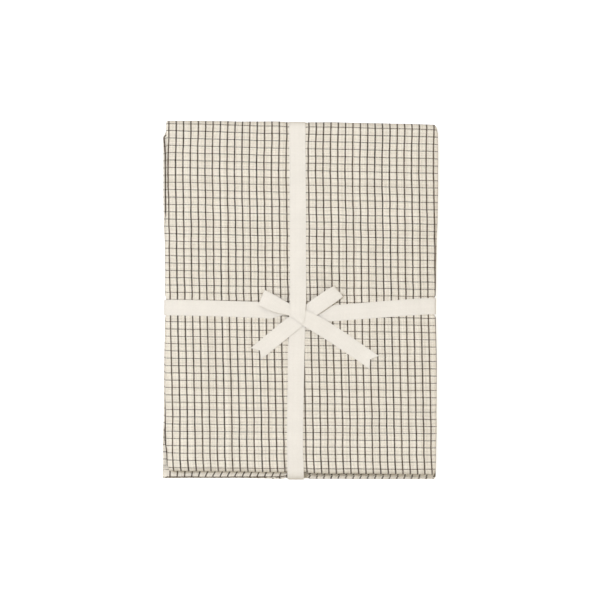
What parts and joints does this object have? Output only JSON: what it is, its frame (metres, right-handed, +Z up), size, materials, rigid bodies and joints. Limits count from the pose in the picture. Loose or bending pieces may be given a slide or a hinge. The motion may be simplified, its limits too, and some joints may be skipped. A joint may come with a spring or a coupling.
{
  "type": "tea towel",
  "caption": "Checked tea towel folded into a flat rectangle and tied both ways with a narrow woven ribbon in a bow.",
  "frame": {"origin": "on the surface that the folded towel lies on, below the middle of its outline", "axes": "+X to the right of the towel's face as seen from above, +Y towards its head fold, +Z up out of its face"},
  "size_m": [0.1805, 0.2345, 0.0174],
  "materials": {
    "check_cloth": "matte plain weave of off-white slub yarn with a dark line check",
    "ribbon": "soft off-white woven tape"
  },
  "bodies": {
    "root": {"towel": "check_cloth", "ribbon": "ribbon"}
  },
  "joints": []
}
